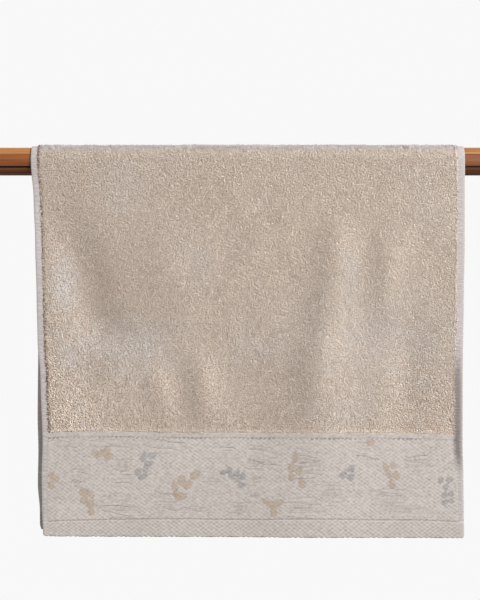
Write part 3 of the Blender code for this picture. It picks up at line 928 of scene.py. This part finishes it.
class Finish:
    """A material under construction: a Principled shader, and short names for the nodes that feed it."""

    def __init__(self, name, roughness, sheen=0.0):
        self.material = bpy.data.materials.new(name)
        self.material.use_nodes = True
        self.tree = self.material.node_tree
        self.shader = self.tree.nodes["Principled BSDF"]
        self.shader.inputs["Roughness"].default_value = roughness
        self.shader.inputs["Sheen Weight"].default_value = sheen

    def feed(self, socket, value):
        """Link a socket to another node's output, or set its colour, vector or number."""
        if isinstance(value, bpy.types.NodeSocket):
            self.tree.links.new(value, socket)
        else:
            socket.default_value = (*value, 1) if socket.type == "RGBA" else value

    def node(self, kind, feeds=(), **settings):
        """A node with its settings, and with its sockets fed, by name or by number."""
        made = self.tree.nodes.new(kind)
        for key, value in settings.items():
            setattr(made, key, value)
        for socket, value in dict(feeds).items():
            self.feed(made.inputs[socket], value)
        return made

    def attribute(self, name, output="Fac"):
        return self.node("ShaderNodeAttribute", attribute_name=name).outputs[output]

    def place(self, stretch=(1, 1, 1), uv=False):
        """Object coordinates, or the cloth's own UV map, scaled."""
        if uv:
            source = self.node("ShaderNodeUVMap", uv_map="cloth").outputs["UV"]
        else:
            source = self.node("ShaderNodeTexCoord").outputs["Object"]
        return self.node("ShaderNodeMapping", {"Vector": source, "Scale": stretch}).outputs["Vector"]

    def parts(self, uv=False):
        """The place's X, Y and Z, a socket each."""
        return self.node("ShaderNodeSeparateXYZ", {"Vector": self.place(uv=uv)}).outputs

    def remap(self, value, from_low, from_high, to_low=0.0, to_high=1.0):
        feeds = {"Value": value, "From Min": from_low, "From Max": from_high,
                 "To Min": to_low, "To Max": to_high}
        return self.node("ShaderNodeMapRange", feeds).outputs["Result"]

    def noise(self, scale, detail=2.0, **place):
        """Noise, stretched to run from 0 to 1."""
        feeds = {"Vector": self.place(**place), "Scale": scale, "Detail": detail}
        return self.remap(self.node("ShaderNodeTexNoise", feeds).outputs["Fac"], *NOISE_SPREAD)

    def math(self, operation, *values):
        return self.node("ShaderNodeMath", enumerate(values), operation=operation).outputs[0]

    def blend(self, factor, low, high, mode="MIX"):
        """low where the factor is 0 and high where it is 1. Each is a colour or a socket."""
        feeds = {0: factor, 6: low, 7: high}
        return self.node("ShaderNodeMix", feeds, data_type="RGBA", blend_type=mode).outputs[2]

    def tint(self, base, amount, most, colour):
        """The base colour, and up to `most` of the other colour over it where the amount is 1."""
        return self.blend(self.remap(amount, 0.0, 1.0, 0.0, most), base, colour)

    def times(self, colour, *factors):
        for factor in factors:
            colour = self.blend(1.0, colour, factor, "MULTIPLY")
        return colour

    def colour(self, socket):
        self.feed(self.shader.inputs["Base Color"], socket)

    def bump(self, height, distance, strength=1.0):
        feeds = {"Height": height, "Distance": distance, "Strength": strength}
        self.feed(self.shader.inputs["Normal"], self.node("ShaderNodeBump", feeds).outputs["Normal"])


def linear(red, green, blue):
    """A colour as seen on a screen, 0 to 255, as the linear values that a shader takes."""
    return tuple(((value / 255 + 0.055) / 1.055) ** 2.4 for value in (red, green, blue))


# %% Terry yarn
COTTON = (0.95, 0.25)
WHITE = linear(255, 255, 255)
PALEST, DARKEST = 1.3, -1.0
IN_SHADE = 0.30
YARN_SOFTNESS = 0.70
TOP_SHADE_FROM, TOP_SHADE_TO = 0.008, 0.018

terry = Finish("terry loops", *COTTON)
yarn = terry.blend(terry.noise(9.0, detail=3.0), linear(243, 227, 214), linear(247, 233, 220))
yarn = terry.tint(yarn, terry.noise(30.0), 0.25, linear(250, 240, 231))
# Paler where the pale table says: partly the yarn's own paler patches, partly a painted highlight on lit
# places of the folds.
yarn = terry.blend(terry.remap(terry.attribute("pale"), 0.0, PALEST), yarn, linear(249, 244, 242))
yarn_tone_and_shade = terry.attribute("yarn_tone_and_shade")
tone_and_shade = terry.blend(yarn_tone_and_shade, linear(208, 194, 181), WHITE)
# Below 0 the tone is painted shade, darkening the yarn down to IN_SHADE of its colour.
shade = terry.remap(yarn_tone_and_shade, DARKEST, 0.0, IN_SHADE, 1.0)
clumps = terry.blend(terry.noise(170.0, detail=1.0), linear(244, 238, 232), WHITE)
# Painted shade with a cool painted sheen: over the top of the pole the yarn is painted greyer and cooler, by
# height.
painted_top_shade = terry.blend(terry.remap(terry.parts()["Z"], TOP_SHADE_FROM, TOP_SHADE_TO), WHITE, linear(230, 238, 255))
terry.colour(terry.times(yarn, painted_top_shade, tone_and_shade, shade, clumps))
facets = terry.node("ShaderNodeNewGeometry").outputs["Normal"]
ways = {0: YARN_SOFTNESS, 4: facets, 5: terry.attribute("way_out", "Vector")}
terry.feed(terry.shader.inputs["Normal"], terry.node("ShaderNodeMix", ways, data_type="VECTOR").outputs[1])

# %% The cloth under the pile
ground = Finish("ground under the pile", *COTTON)
ground_grain = ground.noise(520.0)
ground.colour(ground.blend(ground_grain, linear(206, 187, 169), linear(226, 208, 191)))
ground.bump(ground_grain, 0.0008)

# %% [markdown]
# The side hems are grey and finely ribbed. On the left one a broken dark line is painted shadow, where the
# pile would throw its shade away from the light. Behind, where they lie in the front fall's shade, the same
# yarn is painted lighter: painted light that lifts that shade.

# %% Side hems
SHADOW_LINE_MIDDLE, SHADOW_LINE_HALF = SIDE_STRIP_WIDTH - 0.0004, 0.0006
SHADOW_LINE_BREAKS = (0.25, 0.75)

side_hem = Finish("side hem", *COTTON)
hem_grain = side_hem.noise(1.0, stretch=(160.0, 900.0, 1.0), uv=True)
in_front = side_hem.blend(hem_grain, linear(162, 154, 150), linear(186, 178, 175))
# Painted light: behind, the same yarn is painted lighter, to lift the front fall's shade on the back hems.
behind = side_hem.blend(hem_grain, linear(190, 184, 186), linear(216, 210, 212))
cloth_place = side_hem.parts(uv=True)
painted_light_to_back = side_hem.remap(cloth_place["Y"], FRONT_FALL + WRAP_LENGTH, FRONT_FALL + 2 * WRAP_LENGTH)
# Painted shadow: a broken dark line along the left strip's inner edge, where the pile's shade would fall.
in_shadow_line = side_hem.math("COMPARE", cloth_place["X"], SHADOW_LINE_MIDDLE, SHADOW_LINE_HALF)
shadow_breaks = side_hem.remap(side_hem.noise(1.0, stretch=(1.0, 260.0, 1.0), uv=True), 0.0, 1.0, *SHADOW_LINE_BREAKS)
painted_shadow_line = side_hem.math("MULTIPLY", in_shadow_line, shadow_breaks)
side_hem.colour(side_hem.blend(painted_shadow_line, side_hem.blend(painted_light_to_back, in_front, behind), linear(84, 76, 72)))
side_hem.bump(hem_grain, 0.0003, 0.7)

# %% [markdown]
# The flat weave is painted darker where a thread is sunk, as painted shade in the weave's gaps, and the mesh
# tells where through its own attributes. The back border has no fine mesh, since little is seen of it, so
# its twill's painted shade is drawn by a wave texture there.

# %% Flat weave
SUNK_SHADE_COLOUR = linear(92, 82, 77)
SUNK_SHADE_POWER, SUNK_SHADE_SHARE = 1.6, 0.9
PAINTED_SHADE_TO_RIGHT = (0.97, 0.87)
BACK_TWILL, BACK_TWILL_SHADE_SHARE, BACK_DISTORTION = 0.0050, 0.3, 1.5

weave = Finish("flat weave", *COTTON)
slub = weave.noise(300.0, stretch=(0.35, 1.0, 1.0), uv=True)
base = weave.blend(weave.noise(14.0), linear(197, 188, 181), linear(203, 194, 187))
base = weave.tint(base, slub, 0.5, linear(200, 190, 184))
base = weave.tint(base, weave.attribute("leaf_tan"), 0.75, linear(180, 158, 137))
base = weave.tint(base, weave.attribute("leaf_blue"), 0.60, linear(154, 155, 158))
# Painted shade: sunk threads are painted darker, towards the gap colour.
base = weave.tint(base, weave.math("POWER", weave.attribute("sunk"), SUNK_SHADE_POWER), SUNK_SHADE_SHARE, SUNK_SHADE_COLOUR)
cloth_place = weave.parts(uv=True)
# Painted shade: the flat weave is painted darker towards the right, where the main light falls more strongly.
base = weave.times(base, weave.remap(cloth_place["X"], 0.0, TOWEL_WIDTH, *PAINTED_SHADE_TO_RIGHT))
waves = {"Vector": weave.place(stretch=(1.0, 1.3, 1.0), uv=True),
         "Scale": 2 * math.pi / (10 * BACK_TWILL), "Distortion": BACK_DISTORTION}
bands = weave.node("ShaderNodeTexWave", waves, wave_type="BANDS", bands_direction="DIAGONAL").outputs["Fac"]
# Painted shade of the back border's twill, from the wave texture's bands.
at_back = weave.remap(cloth_place["Y"], FRONT_FALL, FRONT_FALL + WRAP_LENGTH, 0.0, BACK_TWILL_SHADE_SHARE)
weave.colour(weave.blend(weave.math("MULTIPLY", bands, at_back), base, SUNK_SHADE_COLOUR))
weave.bump(slub, 0.0001, 0.5)

for finish in (weave, side_hem, ground):
    towel_cloth.data.materials.append(finish.material)
for piece in pile:
    piece.data.materials.append(terry.material)

# %% [markdown]
# The pole is glued up from long staves, which differ in tone: a pale one on top, a red-brown one in front,
# and a dark one under the joint line. Part of that is the wood's own tone and part is painted light: the
# pale top holds a painted highlight, and the dark staves beneath and behind hold painted shade. Fine
# streaks of grain run along all of them, and painted shade deepens the tone towards the right end. The
# angle round the pole comes from the Object coordinates, so the staves stay in the wood.

# %% Varnished wood
Stave = namedtuple("Stave", "start colour")
# Tones by the angle round the pole: partly the wood's own, partly painted light, pale on top and dark
# beneath.
STAVES_AND_PAINTED_LIGHT = (
    Stave(0.000, linear(96, 55, 34)),
    Stave(0.425, linear(146, 82, 42)),
    Stave(0.580, linear(214, 152, 92)),
    Stave(0.760, linear(150, 92, 56)),
    Stave(0.900, linear(112, 64, 44)),
)
GROOVE_MIDDLE = JOINT_LINE_ANGLE - POLE_TURN
GROOVE_HALF_WIDTH = math.radians(4.5)
RIGHT_END_SHADE = 0.53

wood = Finish("varnished wood", 0.65)
wood_place = wood.parts()
angle = wood.math("ARCTAN2", wood_place["Z"], wood.math("MULTIPLY", wood_place["Y"], -1.0))
ramp = wood.node("ShaderNodeValToRGB", {"Fac": wood.remap(angle, -math.pi, math.pi)})
ramp.color_ramp.interpolation = "CONSTANT"
while len(ramp.color_ramp.elements) < len(STAVES_AND_PAINTED_LIGHT):
    ramp.color_ramp.elements.new(0.5)
for element, stave in zip(ramp.color_ramp.elements, STAVES_AND_PAINTED_LIGHT):
    element.position, element.color = stave.start, (*stave.colour, 1)
streaks = wood.noise(1.0, detail=4.0, stretch=(9.0, 420.0, 420.0))
broad = wood.noise(1.0, stretch=(4.0, 150.0, 150.0))
tinted = wood.tint(ramp.outputs["Color"], streaks, 0.55, linear(70, 36, 22))
tinted = wood.tint(tinted, broad, 0.35, linear(190, 120, 70))
# Painted shade: the wood is painted darker towards the right end, to hold back the stronger light there.
tinted = wood.times(tinted, wood.remap(wood_place["X"], 0.0, POLE_LENGTH, 1.0, RIGHT_END_SHADE))
groove = wood.math("COMPARE", angle, -GROOVE_MIDDLE, GROOVE_HALF_WIDTH)
wood.colour(wood.blend(groove, tinted, linear(26, 16, 13)))
wood.bump(streaks, 0.00008, 0.4)
wood.shader.inputs["Specular IOR Level"].default_value = 0.25
pole_wood.data.materials.append(wood.material)

# %% [markdown]
# ## The stage
#
# The towel hangs free before a pale background. The camera looks straight at it, from a little above the
# middle of its falls. The main soft box stands in front, to the upper right, so that the folds show. A
# weaker one behind lights the back fall.

# %% Camera
CAMERA_X, CAMERA_DISTANCE, CAMERA_Z = 0.2912, 1.8, -0.1576
PIXELS_PER_METRE = 878
SENSOR = 36.0
IMAGE_HEIGHT = 600
camera_data = bpy.data.cameras.new("camera")
camera = bpy.data.objects.new("camera", camera_data)
bpy.context.collection.objects.link(camera)
camera.location = (CAMERA_X, -CAMERA_DISTANCE, CAMERA_Z)
camera.rotation_euler = (math.pi / 2, 0, 0)
camera_data.sensor_width = SENSOR
camera_data.lens = SENSOR * CAMERA_DISTANCE * PIXELS_PER_METRE / IMAGE_HEIGHT
bpy.context.scene.camera = camera

# %% Floor
FLOOR_Z, FLOOR_RADIUS, FLOOR_SIDES = -0.75, 1.2, 96
FLOOR_TONE = 0.7
bpy.ops.object.select_all(action="DESELECT")
bpy.ops.mesh.primitive_circle_add(vertices=FLOOR_SIDES, radius=FLOOR_RADIUS, fill_type="NGON",
                                  location=(POLE_LENGTH / 2, 0, FLOOR_Z))
floor = bpy.context.object
floor.name = "floor"
bpy.ops.object.transform_apply(location=True, rotation=True, scale=True)
floor.visible_diffuse = False
floor.visible_glossy = False
pale_floor = Finish("pale floor", 0.9)
pale_floor.colour((FLOOR_TONE,) * 3)
floor.data.materials.append(pale_floor.material)

# %% Lights
AIM = Vector((POLE_LENGTH / 2, 0.0, -0.2))
KEY_COLOUR = (0.985, 1.0, 1.01)
SoftBox = namedtuple("SoftBox", "name place side power")
SOFT_BOXES = (
    SoftBox("upper right", (2.99, -2.43, 1.49), 2.0, 253),
    SoftBox("behind", (-1.60, 2.60, 0.60), 1.8, 85),
)
for box in SOFT_BOXES:
    lamp = bpy.data.lights.new(box.name, "AREA")
    lamp.shape, lamp.size, lamp.energy, lamp.color = "SQUARE", box.side, box.power, KEY_COLOUR
    light = bpy.data.objects.new(box.name, lamp)
    bpy.context.collection.objects.link(light)
    light.location = box.place
    light.rotation_euler = (AIM - light.location).to_track_quat("-Z", "Y").to_euler()

# %% [markdown]
# The camera sees an even pale background, but the cloth is lit by a room of its own: a glow that is a
# little stronger from above than from below.

# %% Surroundings
BACKGROUND = (0.94, 0.94, 0.94, 1.0)
ROOM_BELOW, ROOM_ABOVE = 0.37, 0.43
FILL_COLOUR = (1.0, 0.98, 0.955, 1.0)
world = bpy.data.worlds.new("pale room")
bpy.context.scene.world = world
world.use_nodes = True
room = world.node_tree
seen, target = room.nodes["Background"], room.nodes["World Output"]
glow, direction, height, level, rays, either = (room.nodes.new("ShaderNode" + kind) for kind in (
    "Background", "TexCoord", "SeparateXYZ", "MapRange", "LightPath", "MixShader"))
seen.inputs["Color"].default_value = BACKGROUND
glow.inputs["Color"].default_value = FILL_COLOUR
for name, number in (("From Min", -0.5), ("From Max", 0.5), ("To Min", ROOM_BELOW), ("To Max", ROOM_ABOVE)):
    level.inputs[name].default_value = number
for output, socket in (
        (direction.outputs["Generated"], height.inputs["Vector"]),
        (height.outputs["Z"], level.inputs["Value"]),
        (level.outputs["Result"], glow.inputs["Strength"]),
        (rays.outputs["Is Camera Ray"], either.inputs["Fac"]),
        (glow.outputs["Background"], either.inputs[1]),
        (seen.outputs["Background"], either.inputs[2]),
        (either.outputs["Shader"], target.inputs["Surface"])):
    room.links.new(output, socket)
bpy.context.scene.view_settings.view_transform = "Standard"
